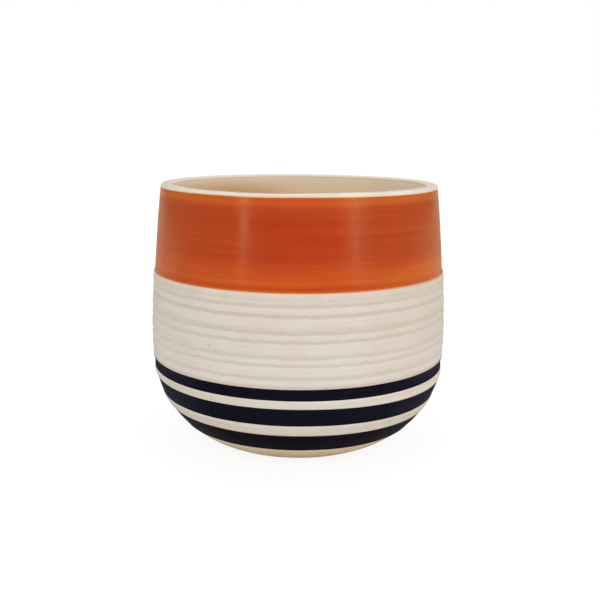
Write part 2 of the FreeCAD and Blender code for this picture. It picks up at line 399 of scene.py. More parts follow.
def turned_coat_tree():
    """Turns an outline about the pot's axis, as the wheel does, with a hand finish's unevenness.

    It also leans what it turns as the real pot does: the stripes dip and the wall swells towards
    the right, the ribs rise there, and the rim is low at the front left."""
    bench, sizes = new_tree("turned_coat", (
        "Facets", "Unevenness", "Unevenness length", "Edge wander", "Turning line depth",
        "Turning line spacing", "Dip", "Swell", "Seed", "Finish"))
    outline = sizes["Geometry"]
    points = bench.node("GeometryNodeAttributeDomainSize", {"Geometry": outline})
    across_rows = bench.plus(sizes["Facets"], 1.0)
    feeds = {"Vertices X": points.outputs["Point Count"], "Vertices Y": across_rows}
    shape = bench.node("GeometryNodeMeshGrid", feeds).outputs["Mesh"]
    index = bench.out("GeometryNodeInputIndex")
    column = bench.sum("FLOOR", bench.sum("DIVIDE", bench.plus(index, 0.5), across_rows))
    row = bench.less(index, bench.times(column, across_rows))
    place = bench.out("GeometryNodeInputPosition")
    turn = bench.times(bench.sum("DIVIDE", row, sizes["Facets"]), tau)
    feeds = {"Vector": bench.sample(outline, place, column), "Angle": turn}
    turned = bench.out("ShaderNodeVectorRotate", feeds, rotation_type="Z_AXIS")
    shape = bench.shaped("SetPosition", shape, {"Position": turned})
    shape = bench.shaped("MergeByDistance", shape, {"Distance": SAME_PLACE})
    shape = bench.shaped("FlipFaces", shape)
    shape = bench.shaped("SetShadeSmooth", shape, {"Shade Smooth": True})
    edge_angle = bench.node("GeometryNodeInputMeshEdgeAngle").outputs["Unsigned Angle"]
    feeds = {0: edge_angle, 1: CREASE_ANGLE}
    creased = bench.out("FunctionNodeCompare", feeds, operation="GREATER_THAN")
    feeds = {"Selection": creased, "Shade Smooth": False}
    shape = bench.shaped("SetShadeSmooth", shape, feeds, domain="EDGE")

    outwards, off_axis = bench.from_axis(place)
    z = bench.parts_of(place)[2]
    round_place = bench.reaching(outwards, BELLY_RADIUS, z)
    waves = bench.sum("DIVIDE", 1.0, sizes["Unevenness length"])
    uneven = bench.centred(bench.noise(round_place, waves, sizes["Seed"]))
    uneven = bench.times(uneven, sizes["Unevenness"])
    edge_seed = bench.plus(sizes["Seed"], EDGE_SEED)
    wander = bench.centred(bench.noise(round_place, waves, edge_seed))
    wander = bench.times(wander, sizes["Edge wander"])
    line_height = bench.upright(bench.sum("DIVIDE", z, sizes["Turning line spacing"]))
    line_place = bench.vector_sum("ADD", outwards, line_height)
    lines = bench.centred(bench.noise(line_place, 1.0, sizes["Seed"], detail=1.0))
    lines = bench.times(lines, sizes["Turning line depth"])
    inwards = bench.times(bench.between(off_axis, *NEAR_AXIS), -1.0)
    inwards = bench.times(bench.plus(uneven, lines), inwards)
    moved = bench.reaching(outwards, inwards, wander)

    to_right = bench.between(bench.parts_of(outwards)[0], 0.0, 1.0)
    leaning = bench.plus(*[bench.between(z, low, high, at_high=share)
                           for low, high, share in LEANING_ROWS])
    leaning = bench.times(leaning, bench.between(z, *LEAN_ENDS), to_right)
    to_low_rim = bench.vector_sum("DISTANCE", outwards, LOW_RIM_WAY)
    low_rim = bench.between(to_low_rim, *LOW_RIM_REACH, LOW_RIM, 0.0)
    low_rim = bench.times(low_rim, bench.between(z, *LOW_RIM_ROWS))
    dip = bench.plus(bench.times(leaning, sizes["Dip"]), low_rim)
    rise = bench.less(right_rise(bench, outwards, z), dip)
    leant = bench.reaching(outwards, bench.times(leaning, sizes["Swell"]), rise)
    moved = bench.vector_sum("ADD", moved, leant)
    shape = bench.shaped("SetPosition", shape, {"Offset": moved})
    return close_tree(bench, shape, sizes["Finish"])


RIB_MARKS = {"Foot of the ribs": RIBS_FOOT}
for number, height in enumerate(GROOVE_HEIGHTS, 1):
    RIB_MARKS[f"Groove {number}"] = height
RIB_MARKS["Top of the ribs"] = RIBS_TOP
SAME_HEIGHT = 1e-6
NEARLY_LEVEL = 0.05 * MM
RIB_FULLNESS = (4.5 * MM, 7 * MM, 1.3, 1.9)
RIB_END_ROOM = 2.5 * MM
RAGGED_WAVES = 4.2
CHATTER_WAVES = 2.0
CHATTER_FLOOR = 0.30
RAGGED_SEED = 3.0
DEPTH_SEED = 11.0
CHATTER_SEED = 17.0
DEPTH_SPREAD = (0.3, 0.7, 0.75, 1.15)
SIDE_SHALLOWING = (0.35, 0.95, 1.0, 0.6)
RIB_SHOULDER = (0.35, 0.7)
NARROW_RIBS = (4 * MM, 6.5 * MM, 1.32, 1.0)


def turned_ribs_tree():
    """Presses the ribs into a turned wall: a rounded rib between each groove and the next.

    The grooves wander, with ragged and chattered edges, and are shallower towards the sides. The
    height on each rib, from 0 at its foot to 1 at its top, is kept as rib_place for the slip's
    colour, eased on a narrow rib so that its zone of thin slip and painted shade is wider."""
    marks = list(RIB_MARKS)
    bench, sizes = new_tree("turned_ribs", marks + [
        "Groove depth", "Foot depth", "Top depth", "Wander", "Wander length", "Raggedness",
        "Chatter", "Outside beyond", "Seed", "Finish"])
    index = bench.out("GeometryNodeInputIndex")
    mark_height = bench.node("GeometryNodeIndexSwitch", data_type="FLOAT")
    while len(mark_height.index_switch_items) < len(marks):
        mark_height.index_switch_items.new()
    bench.feed(mark_height.inputs["Index"], index)
    for number, mark in enumerate(marks):
        bench.feed(mark_height.inputs[number + 1], sizes[mark])
    feeds = {"Count": len(marks), "Position": bench.upright(mark_height.outputs[0])}
    mark_points = bench.out("GeometryNodePoints", feeds)
    place = bench.out("GeometryNodeInputPosition")
    outwards, off_axis = bench.from_axis(place)
    z = bench.parts_of(place)[2]
    z = bench.less(z, right_rise(bench, outwards, z))
    feeds = {"Sample Position": bench.upright(z)}
    nearest = bench.shaped("SampleNearest", mark_points, feeds)

    def height_of(mark):
        return bench.parts_of(bench.sample(mark_points, place, mark))[2]

    near_height = height_of(nearest)
    above_near = bench.less(z, near_height)
    side = bench.sum("SIGN", bench.plus(above_near, NEARLY_LEVEL))
    rib_height = bench.less(height_of(bench.plus(nearest, side)), near_height)
    rib_width = bench.sum("ABSOLUTE", rib_height)
    along = bench.sum("DIVIDE", above_near, rib_height)
    to_crest = bench.sum("SUBTRACT", 1.0, bench.times(along, 2.0), clamp=True)
    fullness = bench.between(rib_width, *RIB_FULLNESS)
    shape_of_rib = bench.between(bench.sum("POWER", to_crest, fullness), 0.0, 1.0)
    round_place = bench.reaching(outwards, BELLY_RADIUS, z)
    wave = bench.sum("DIVIDE", 1.0, sizes["Wander length"])

    def noise_round(waves=1.0, seed=0.0):
        """Noise round the pot, with so many waves in each of the wander's."""
        finer, seeded = bench.times(wave, waves), bench.plus(sizes["Seed"], seed)
        return bench.noise(round_place, finer, seeded, detail=1.0)

    wander = bench.centred(noise_round())
    ragged = bench.centred(noise_round(RAGGED_WAVES, RAGGED_SEED))
    lift = bench.times(wander, sizes["Wander"])
    lift = bench.plus(lift, bench.times(ragged, sizes["Raggedness"]))
    from_foot = bench.less(z, sizes["Foot of the ribs"])
    from_top = bench.less(sizes["Top of the ribs"], z)
    nearer_end = bench.sum("MINIMUM", from_foot, from_top)
    room = bench.sum("MULTIPLY", nearer_end, 1 / RIB_END_ROOM, clamp=True)
    lift = bench.times(lift, room)
    depth_share = bench.between(noise_round(seed=DEPTH_SEED), *DEPTH_SPREAD)
    to_side = bench.to_side(outwards)
    depth_share = bench.times(depth_share, bench.between(to_side, *SIDE_SHALLOWING))
    depth = bench.times(sizes["Groove depth"], depth_share)
    is_foot = bench.sum("LESS_THAN", nearest, 0.5)
    is_top = bench.sum("GREATER_THAN", nearest, len(marks) - 1.5)
    depth = bench.blend(is_foot, depth, sizes["Foot depth"])
    depth = bench.blend(is_top, depth, sizes["Top depth"])
    depth = bench.times(depth, shape_of_rib)
    is_below_groove = bench.sum("LESS_THAN", side, -0.5)
    rib_place = bench.blend(is_below_groove, along, bench.less(1.0, along))
    outside = bench.sum("GREATER_THAN", off_axis, sizes["Outside beyond"])
    above_foot = bench.sum("GREATER_THAN", from_foot, -SAME_HEIGHT)
    below_top = bench.sum("GREATER_THAN", from_top, SAME_HEIGHT)
    ribbed = bench.times(outside, above_foot, below_top)
    chatter = bench.less(noise_round(CHATTER_WAVES, CHATTER_SEED), CHATTER_FLOOR)
    chatter = bench.times(chatter, sizes["Chatter"])
    on_shoulder = bench.times(bench.between(rib_place, *RIB_SHOULDER), room)
    depth = bench.plus(depth, bench.sum("MAXIMUM", bench.times(chatter, on_shoulder), 0.0))
    moved = bench.reaching(outwards, bench.times(depth, -1.0), lift)
    narrow = bench.between(rib_width, *NARROW_RIBS)
    slip_place = bench.sum("POWER", bench.sum("MAXIMUM", rib_place, 0.0), narrow)
    feeds = {"Name": "rib_place", "Value": bench.blend(ribbed, 1.0, slip_place)}
    shape = bench.shaped("StoreNamedAttribute", sizes["Geometry"], feeds,
                         data_type="FLOAT", domain="POINT")
    shape = bench.shaped("SetPosition", shape, {"Selection": ribbed, "Offset": moved})
    return close_tree(bench, shape, sizes["Finish"])


turned_coat = turned_coat_tree()
turned_ribs = turned_ribs_tree()
DOUBLED_POINT = 1e-6
RIGHT_DIP = 1 * MM
RIGHT_SWELL = 0.35 * MM
TURNING_LINES_APART = 0.7 * MM


def outline_mesh(name, points, closed):
    """The section's outline as a line mesh in the plane across the pot, less doubled points."""
    kept = []
    for point in points:
        if not kept or (Vector(point) - Vector(kept[-1])).length > DOUBLED_POINT:
            kept.append(tuple(point))
    if closed:
        kept.append(kept[0])
    mesh = bpy.data.meshes.new(name)
    edges = [(number, number + 1) for number in range(len(kept) - 1)]
    mesh.from_pydata([(across, 0.0, height) for across, height in kept], edges, [])
    return mesh


def work_tree(piece, tree, sizes):
    """Puts a tree on a piece, with its inputs set by name."""
    modifier = piece.modifiers.new(tree.name, "NODES")
    modifier.node_group = tree
    for item in tree.interface.items_tree:
        if item.in_out == "INPUT" and item.name in sizes:
            modifier[item.identifier] = sizes[item.name]


def turn_piece(name, points, finish, node, closed=True, ribs=None, facets=FACETS,
               uneven=0.04 * MM, uneven_length=18 * MM, edge_wander=0.0, lines=0.0, seed=1.0):
    """Turns one piece of the pot on the wheel and puts it in place of the CAD's plain one."""
    piece = bpy.data.objects.new(name, outline_mesh(name, points, closed))
    scene.collection.objects.link(piece)
    work_tree(piece, turned_coat, {
        "Facets": facets, "Unevenness": uneven, "Unevenness length": uneven_length,
        "Edge wander": edge_wander, "Turning line depth": lines,
        "Turning line spacing": TURNING_LINES_APART, "Dip": RIGHT_DIP, "Swell": RIGHT_SWELL,
        "Seed": seed, "Finish": finish,
    })
    if ribs:
        work_tree(piece, turned_ribs, dict(ribs, Finish=finish))
    depsgraph = bpy.context.evaluated_depsgraph_get()
    shaped = bpy.data.meshes.new_from_object(
        piece.evaluated_get(depsgraph), preserve_all_data_layers=True, depsgraph=depsgraph)
    piece.modifiers.clear()
    piece.data = shaped
    shaped.name = name
    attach(piece, "root")
    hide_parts(node)


NOISE_SPREAD = (0.3, 0.7)


class Finish(Bench):
    """The bench for a material. Its place is the place on the pot, in metres."""

    def __init__(self, name, **shader_values):
        self.material = bpy.data.materials.new(name)
        self.material.use_nodes = True
        super().__init__(self.material.node_tree)
        self.shader = self.tree.nodes["Principled BSDF"]
        for socket, value in shader_values.items():
            self.shader.inputs[socket.replace("_", " ")].default_value = value
        self.place = self.node("ShaderNodeTexCoord").outputs["Object"]
        self.x, self.y, self.z = self.parts_of(self.place)

    def grain(self, size, seed, **kind):
        """Noise whose largest spots are of this size."""
        return self.noise(self.place, 1 / size, seed, **kind)

    def cloud(self, size, seed, **kind):
        """Noise spread out so that most of it goes from 0 to 1."""
        return self.between(self.grain(size, seed, **kind), *NOISE_SPREAD)

    def brushed(self, waves, apart, seed, **kind):
        """Noise in lines round the pot, this far apart and with so many waves in a metre."""
        row = self.sum("DIVIDE", self.z, apart)
        line_place = self.joined(self.times(self.x, waves), self.times(self.y, waves), row)
        return self.noise(line_place, 1.0, seed, **kind)

    def dots(self, apart, full, end, share=1.0):
        """Round dots, full up to one distance and gone at the other, in shares of their spacing."""
        feeds = {"Vector": self.place, "Scale": 1 / apart}
        cells = self.node("ShaderNodeTexVoronoi", feeds, feature="F1")
        return self.between(cells.outputs["Distance"], full, end, share, 0.0)

    def cover(self, colour, relief, depth, strength):
        """The material, with its colour and a fine relief that is so deep in metres."""
        self.feed(self.shader.inputs["Base Color"], colour)
        feeds = {"Strength": strength, "Distance": depth, "Height": relief}
        self.feed(self.shader.inputs["Normal"], self.out("ShaderNodeBump", feeds))
        return self.material


CLAY_SHADES = ((0.79, 0.61, 0.385, 1), (0.86, 0.68, 0.45, 1))
PAINTED_LIGHT_CLAY = (0.95, 0.79, 0.56, 1)
PAINTED_LIGHT_FROM = 7 * MM
SAND_BROWN = (0.45, 0.32, 0.2, 1)
PIT_BROWN = (0.26, 0.17, 0.1, 1)


def clay_finish():
    """Bare fired clay: sandy, matt, with darker grains and small pits, and paler under the stripe
    as painted light.
    """
    bench = Finish("buff_clay", Roughness=0.85, Specular_IOR_Level=0.25)
    colour = bench.tint(bench.cloud(9 * MM, seed=2.0, detail=3.0), *CLAY_SHADES)
    # Painted light: the clay is paled up towards the stripe, so the foot below it looks darker as
    # painted shade.
    painted_light_under_stripe = bench.between(bench.z, PAINTED_LIGHT_FROM, COATS_FOOT, at_high=0.5)
    colour = bench.tint(painted_light_under_stripe, colour, PAINTED_LIGHT_CLAY)
    sand = bench.grain(0.55 * MM, seed=5.0, detail=3.0, rough=0.65)
    sand = bench.between(sand, 0.35, 0.7)
    colour = bench.tint(bench.times(sand, 0.35), colour, SAND_BROWN)
    pit = bench.dots(apart=2.6 * MM, full=0.05, end=0.12)
    colour = bench.tint(bench.times(pit, 0.5), colour, PIT_BROWN)
    relief = bench.less(bench.times(sand, 0.4), pit)
    return bench.cover(colour, relief, depth=0.05 * MM, strength=0.6)


clay_depth = SLIP_DEPTH + SLIP_THICKNESS
clay_behind_orange = ORANGE_DEPTH + ORANGE_THICKNESS + SLIP_THICKNESS
clay_inside = WALL_THICKNESS - LINER_THICKNESS
clay_floor = FLOOR_HEIGHT - LINER_THICKNESS
clay_top = POT_HEIGHT - LINER_THICKNESS
clay_over_lip = lip_rows(clay_behind_orange, clay_inside, clay_top, CLAY_LIP_ROUND)
ring_outside = wall(0.0, SLIP_DEPTH)[0]
ring_inside = ring_outside - FOOT_RING_WIDTH
recess_edge = ring_inside - FOOT_RECESS_SLOPE
recess_rings = 8
clay_outline = softened(
    [(recess_edge * ring / recess_rings, FOOT_RECESS_DEPTH) for ring in range(recess_rings)]
    + [(recess_edge, FOOT_RECESS_DEPTH, FOOT_RECESS_ROUND),
       (ring_inside, 0.0, FOOT_RING_ROUNDS[1]), (ring_outside, 0.0, FOOT_RING_ROUNDS[0])]
    + wall_rows(2 * FOOT_RING_ROUNDS[0], COATS_FOOT, SLIP_DEPTH, apart=0.8 * MM)
    + banded_rows(COATS_FOOT, RIBS_FOOT, clay_depth, apart=0.8 * MM)
    + rib_rows(SLIP_THICKNESS, apart=1 * MM)
    + wall_rows(RIBS_TOP - SLIP_THICKNESS, ORANGE_BAND[1], clay_behind_orange, apart=5 * MM)
    + clay_over_lip
    + inside_rows(clay_inside, clay_floor, apart=4 * MM)
)
rib_sizes = dict(RIB_MARKS)
rib_sizes.update({
    "Groove depth": 0.40 * MM, "Foot depth": 0.2 * MM, "Top depth": 0.15 * MM,
    "Wander": 0.7 * MM, "Wander length": 9 * MM, "Raggedness": 1.3 * MM,
    "Chatter": 0.40 * MM, "Outside beyond": 71 * MM, "Seed": 4.0,
})
turn_piece("turned_clay", clay_outline, clay_finish(), "clay_body",
           closed=False, ribs=rib_sizes)


# White slip
# The matt white coat of fine clay over the outside, from the lowest stripe up to the lip. It is
# brushed on the turning wheel, so it keeps fine lines. On the underside of each rib and at the
# grooves it is painted warmer and darker, partly where it lies thinner and partly as painted shade.
SLIP_FACETS = 400
SLIP_WHITES = ((0.68, 0.612, 0.54, 1), (0.725, 0.665, 0.595, 1))
LOW_RIB_WHITE = (0.76, 0.7, 0.635, 1)
BAND_WHITE = (0.775, 0.685, 0.545, 1)
THIN_AND_SHADED_TAN = (0.585, 0.505, 0.415, 1)
LINE_TAN = (0.56, 0.47, 0.37, 1)
ORANGE_STAIN = (0.66, 0.26, 0.06, 1)
SPECK_BROWN = (0.16, 0.1, 0.06, 1)
THIN_AND_SHADE_UNDER_RIB = ((0.95, 0.70, 0.0, 0.32), (0.38, 0.10, 0.0, 0.68))
THIN_AND_SHADE_IN_GROOVE = (0.84, 1.0)
RIBBED_SLIP = ((RIBS_FOOT, RIBS_FOOT + 1 * MM),
               (RIBS_TOP - 0.5 * MM, RIBS_TOP - 1.5 * MM, 0.0, 0.6))
LOW_RIBS = (54 * MM, 70 * MM)
TOP_RIB = ((83.5 * MM, 85 * MM), (88 * MM, 87 * MM))
SIDE_SHADE_ZONE = (0.35, 0.9)
RIGHT_SHADE_ZONE = (0.15, 0.75)
FAINT_RINGS = ((46.2 * MM, 0.22), (72.4 * MM, 0.22), (78.3 * MM, 0.25), (85.2 * MM, 0.30))
RING_WOBBLE = 1.6 * MM
RING_EDGE = (1 * MM, 0.2 * MM)
BAND_LINES = (23.9 * MM, 37.9 * MM)
BAND_LINE_EDGE = (1.4 * MM, 0.4 * MM)
STAIN_ROWS = (RIBS_TOP - 0.7 * MM, RIBS_TOP - 0.1 * MM)
SPECK_EDGE = (0.15 * MM, 0.5 * MM)
SPECKS = ((232.7, 82.1 * MM, 0.6), (193.0, 68.5 * MM, 0.6),
          (237.2, 62.3 * MM, 0.6), (296.7, 63.4 * MM, 0.15))


def slip_finish():
    """Matt slip: warm white on the shoulders of the ribs, tan where it is thin and as painted
    shade.

    The underside of each rib and each groove are tan, partly as thin slip and partly as painted
    shade; painted shade also darkens the sides and the right, and the slip is thin at faint rings
    and patches. Each white band between the stripes has a tan line, deepened at the sides as
    painted shade, and dark specks lie at the photograph's bearings."""
    bench = Finish("white_slip", Roughness=0.7, Specular_IOR_Level=0.3)
    z = bench.z
    outwards, _ = bench.from_axis(bench.place)
    to_right = bench.parts_of(outwards)[0]
    to_side = bench.to_side(outwards)
    rib_place = bench.node("ShaderNodeAttribute", attribute_name="rib_place").outputs["Fac"]
    torn = bench.centred(bench.grain(1.8 * MM, seed=12.0))
    rib_place = bench.plus(rib_place, bench.times(torn, 0.25))
    # Tan under each rib and at each groove: partly thin slip, partly painted shade.
    thin_and_shade = bench.plus(*[bench.between(rib_place, *zone) for zone in THIN_AND_SHADE_UNDER_RIB])
    groove_thin_and_shade = bench.between(rib_place, *THIN_AND_SHADE_IN_GROOVE)
    thin_and_shade = bench.plus(thin_and_shade, bench.times(bench.within(z, *RIBBED_SLIP), groove_thin_and_shade))
    thin_and_shade = bench.times(thin_and_shade, bench.between(to_side, *SIDE_SHADE_ZONE, 1.0, 0.55))
    thin_and_shade = bench.times(thin_and_shade, bench.between(z, *LOW_RIBS, 0.72, 1.0))
    # Painted shade: tan is added towards the sides and towards the right.
    thin_and_shade = bench.plus(thin_and_shade, bench.between(to_side, *SIDE_SHADE_ZONE, at_high=0.20))
    thin_and_shade = bench.plus(thin_and_shade, bench.between(to_right, *RIGHT_SHADE_ZONE, at_high=0.22))
    wobble = bench.centred(bench.grain(7 * MM, seed=7.0))
    ring_height = bench.plus(z, bench.times(wobble, RING_WOBBLE))
    for height, share in FAINT_RINGS:
        to_ring = bench.beside(ring_height, height)
        thin_and_shade = bench.plus(thin_and_shade, bench.between(to_ring, *RING_EDGE, at_high=share))
    patches = bench.grain(4.5 * MM, seed=15.0, detail=1.0)
    patches = bench.between(patches, 0.36, 0.64, at_high=0.30)
    thin_and_shade = bench.plus(thin_and_shade, bench.times(patches, bench.within(z, *TOP_RIB)))

    white = bench.tint(bench.cloud(14 * MM, seed=3.0, detail=3.0), *SLIP_WHITES)
    white = bench.tint(bench.between(z, *LOW_RIBS, 0.3, 0.0), white, LOW_RIB_WHITE)
    colour = bench.tint(bench.sum("MULTIPLY", thin_and_shade, 0.85, clamp=True), white, THIN_AND_SHADED_TAN)
    banded = bench.between(z, RIBS_FOOT, UPPER_STRIPE[0])
    colour = bench.tint(bench.times(banded, 0.5), colour, BAND_WHITE)
    # The tan band lines are deepened towards the sides as painted shade.
    band_line_side_shade = bench.between(to_side, 0.1, 0.7, 0.18, 0.50)
    for height in BAND_LINES:
        lined = bench.between(bench.beside(z, height), *BAND_LINE_EDGE)
        colour = bench.tint(bench.times(lined, band_line_side_shade), colour, THIN_AND_SHADED_TAN)
    lines = bench.brushed(waves=12.0, apart=0.55 * MM, seed=6.0)
    lines = bench.between(lines, *NOISE_SPREAD)
    brush_share = bench.between(banded, 0.0, 1.0, 0.18, 0.32)
    colour = bench.tint(bench.times(lines, brush_share), colour, LINE_TAN)
    colour = bench.tint(bench.between(z, *STAIN_ROWS, at_high=0.75), colour, ORANGE_STAIN)
    speck = bench.dots(apart=15 * MM, full=0.018, end=0.030, share=0.8)
    on_belly = bench.reaching(outwards, BELLY_RADIUS, z)
    for bearing, height, share in SPECKS:
        turn = radians(bearing)
        speck_place = (BELLY_RADIUS * cos(turn), BELLY_RADIUS * sin(turn), height)
        away = bench.vector_sum("DISTANCE", on_belly, speck_place)
        speck = bench.sum("MAXIMUM", speck, bench.between(away, *SPECK_EDGE, share, 0.0))
    colour = bench.tint(speck, colour, SPECK_BROWN)
    grain = bench.grain(0.5 * MM, seed=9.0, detail=3.0, rough=0.6)
    relief = bench.plus(bench.times(lines, 0.5), bench.times(grain, 0.5))
    return bench.cover(colour, relief, depth=0.05 * MM, strength=0.7)


slip_behind_orange = ORANGE_DEPTH + ORANGE_THICKNESS
slip_outside = softened(
    [wall(COATS_FOOT, clay_depth), (*wall(COATS_FOOT, SLIP_DEPTH), 0.1 * MM)]
    + banded_rows(COATS_FOOT + 0.4 * MM, RIBS_FOOT - 0.3 * MM, SLIP_DEPTH, apart=0.5 * MM)
    + rib_rows(0.0, apart=0.47 * MM)[:-1]
    + [(*wall(RIBS_TOP, 0.15 * MM), 0.28 * MM), wall(RIBS_TOP, slip_behind_orange)]
    + wall_rows(RIBS_TOP + 4 * MM, ORANGE_BAND[1], slip_behind_orange, apart=5 * MM)
)
slip_inside = (
    wall_rows(RIBS_TOP - SLIP_THICKNESS, ORANGE_BAND[1], clay_behind_orange, apart=6 * MM)[::-1]
    + rib_rows(SLIP_THICKNESS, apart=2.4 * MM)[::-1]
    + banded_rows(COATS_FOOT, RIBS_FOOT, clay_depth, apart=1.6 * MM)[::-1]
)
turn_piece("slip_coat", slip_outside + slip_inside[:-1], slip_finish(), "white_slip",
           ribs=rib_sizes, facets=SLIP_FACETS, lines=0.03 * MM)


# Orange glaze band
# A glossy, see-through orange glaze brushed round the top third in many thin strokes. It is
# thinner and lighter near its two edges, where the light band at the top also holds a painted
# reflection, and gathers darker in the corner over the first rib.
ORANGE_FACETS = 320
ORANGE_EDGE = 129.52 * MM
# Colours up the band; the light band from 125 mm up is thinner glaze and a painted reflection.
ORANGE_TONES_AND_TOP_REFLECTION = (
    (88.3, (0.68, 0.2, 0.012)), (88.8, (0.6, 0.09, 0.006)), (89.6, (0.51, 0.046, 0.006)),
    (90.4, (0.52, 0.05, 0.0075)), (91.5, (0.57, 0.08, 0.0105)), (92.6, (0.6, 0.104, 0.012)),
    (93.6, (0.57, 0.072, 0.011)), (96.8, (0.555, 0.066, 0.0115)), (98.2, (0.525, 0.056, 0.01)),
    (100.4, (0.49, 0.047, 0.0085)), (103.0, (0.435, 0.036, 0.0072)), (123.2, (0.43, 0.035, 0.0072)),
    (125.0, (0.46, 0.044, 0.0082)), (126.1, (0.52, 0.07, 0.0125)), (127.1, (0.535, 0.082, 0.0125)),
    (128.6, (0.535, 0.08, 0.0115)), (129.2, (0.575, 0.09, 0.008)), (129.5, (0.59, 0.11, 0.01)),
)
REFLECTION_AMBER = (1.0, 0.86, 0.45, 1)
STREAK_ORANGE = (0.6, 0.1, 0.015, 1)
FINE_ORANGE = (0.62, 0.11, 0.016, 1)
CLOUD_RED = (0.39, 0.05, 0.012, 1)
SIDE_SHADE_AND_HAZE_BROWN = (0.42, 0.105, 0.028, 1)
EDGE_REFLECTION_YELLOW = (0.575, 0.135, 0.02, 1)
STROKE_ORANGE = (0.66, 0.15, 0.014, 1)
SHADE_WOBBLE = 2 * MM
STEADY_EDGE = 4 * MM
YELLOW_ROWS = (125 * MM, 127.5 * MM)
STROKE_ROWS = (99 * MM, 96 * MM)
STROKE_FROM_TO = (25 * MM, 55 * MM)
FEATHER_DEPTHS = (0.62 * MM, 0.64 * MM)
FEATHER_RISE = 0.06 * MM


def orange_finish():
    """Glossy orange glaze: its colour goes by height, broken up by the brush.

    Painted shade and haze of reflection brown it towards the sides, a painted reflection yellows
    its top edge there, and one lighter stroke goes round the low right."""
    bench = Finish("orange_glaze", IOR=1.5, Specular_Tint=REFLECTION_AMBER)
    low, high = RIBS_TOP, ORANGE_EDGE
    wobble = bench.centred(bench.grain(30 * MM, seed=1.0, detail=1.0))
    off_edges = bench.within(bench.z, (low, low + STEADY_EDGE), (high, high - STEADY_EDGE))
    height = bench.plus(bench.z, bench.times(wobble, off_edges, SHADE_WOBBLE))
    share_up = bench.between(height, low, high, ease="LINEAR")
    ramp = bench.node("ShaderNodeValToRGB", {0: share_up})
    stops = ramp.color_ramp.elements
    for number, (shade_height, shade) in enumerate(ORANGE_TONES_AND_TOP_REFLECTION):
        share = (shade_height * MM - low) / (high - low)
        stop = stops[number] if number < 1 else stops.new(share)
        stop.position = share
        stop.color = (*shade, 1)
    stops.remove(stops[len(stops) - 1])
    colour = ramp.outputs[0]
    streaks = bench.brushed(waves=9.0, apart=1.9 * MM, seed=2.0, detail=3.0, rough=0.55)
    colour = bench.tint(bench.between(streaks, 0.25, 0.75, at_high=0.22), colour, STREAK_ORANGE)
    cloud = bench.grain(28 * MM, seed=8.0)
    colour = bench.tint(bench.between(cloud, 0.5, 0.75, at_high=0.3), colour, CLOUD_RED)
    to_side = bench.to_side(bench.from_axis(bench.place)[0])
    # Painted shade and reflection haze: the glaze is browned towards the sides.
    side_shade_and_haze = bench.between(to_side, 0.30, 1.0, at_high=0.5, ease="LINEAR")
    colour = bench.tint(side_shade_and_haze, colour, SIDE_SHADE_AND_HAZE_BROWN)
    # Painted reflection: the top edge is yellowed towards the sides.
    at_top_edge = bench.between(height, *YELLOW_ROWS)
    top_edge_reflection = bench.times(bench.between(to_side, 0.3, 0.8), at_top_edge, 0.6)
    colour = bench.tint(top_edge_reflection, colour, EDGE_REFLECTION_YELLOW)
    right_stroke = bench.times(bench.between(bench.x, *STROKE_FROM_TO, at_high=0.35),
                               bench.between(height, *STROKE_ROWS))
    colour = bench.tint(right_stroke, colour, STROKE_ORANGE)
    fine = bench.brushed(waves=16.0, apart=0.8 * MM, seed=5.0)
    colour = bench.tint(bench.between(fine, 0.5, 0.75, at_high=0.16), colour, FINE_ORANGE)
    roughness = bench.between(streaks, *NOISE_SPREAD, 0.18, 0.27)
    bench.feed(bench.shader.inputs["Roughness"], roughness)
    ripple = bench.grain(2.2 * MM, seed=11.0, detail=1.0)
    relief = bench.plus(bench.blend(0.4, streaks, fine), ripple)
    return bench.cover(colour, relief, depth=0.05 * MM, strength=0.35)


orange_foot = RIBS_TOP + FEATHER_RISE
orange_outside = softened(
    [(*wall(RIBS_TOP, FEATHER_DEPTHS[0]), 0.02 * MM),
     (wall(RIBS_TOP, FEATHER_DEPTHS[1])[0], orange_foot),
     (wall(RIBS_TOP, ORANGE_DEPTH)[0], orange_foot, 0.05 * MM)]
    + wall_rows(RIBS_TOP + 1 * MM, ORANGE_EDGE - 0.3 * MM, ORANGE_DEPTH, apart=0.8 * MM)
    + [(*wall(ORANGE_EDGE, ORANGE_DEPTH), 0.04 * MM), wall(ORANGE_EDGE, slip_behind_orange)]
)
orange_inside = wall_rows(RIBS_TOP, ORANGE_EDGE, slip_behind_orange, apart=5 * MM)[::-1]
turn_piece("orange_glaze_coat", orange_outside[:-1] + orange_inside, orange_finish(),
           "orange_glaze_band", facets=ORANGE_FACETS, uneven=0.25 * MM,
           uneven_length=14 * MM, seed=2.0)


# Navy stripes
# Three bands of matt navy ceramic colour, banded onto the turning slip with a full brush. They
# stand a little proud of the slip, with crisp edges that wander by a hair.
UPPER_STRIPE_LOWERED = 0.15 * MM
STRIPES = (
    ("upper_navy_coat", "upper_navy_stripe",
     UPPER_STRIPE[0] - UPPER_STRIPE_LOWERED, UPPER_STRIPE[1], 3.0),
    ("middle_navy_coat", "middle_navy_stripe", *MIDDLE_STRIPE, 5.0),
    ("lower_navy_coat", "lower_navy_stripe", *LOWER_STRIPE, 9.0),
)
STRIPE_ROUND = 0.08 * MM
STRIPE_ROUND_ROOM = 0.2 * MM
NAVY_SHADES = ((0.0034, 0.0035, 0.011, 1), (0.0056, 0.0057, 0.017, 1))
PAINTED_SHEEN_NAVY = (0.0135, 0.0135, 0.034, 1)
BLACK = (0.0, 0.0, 0.0, 1)


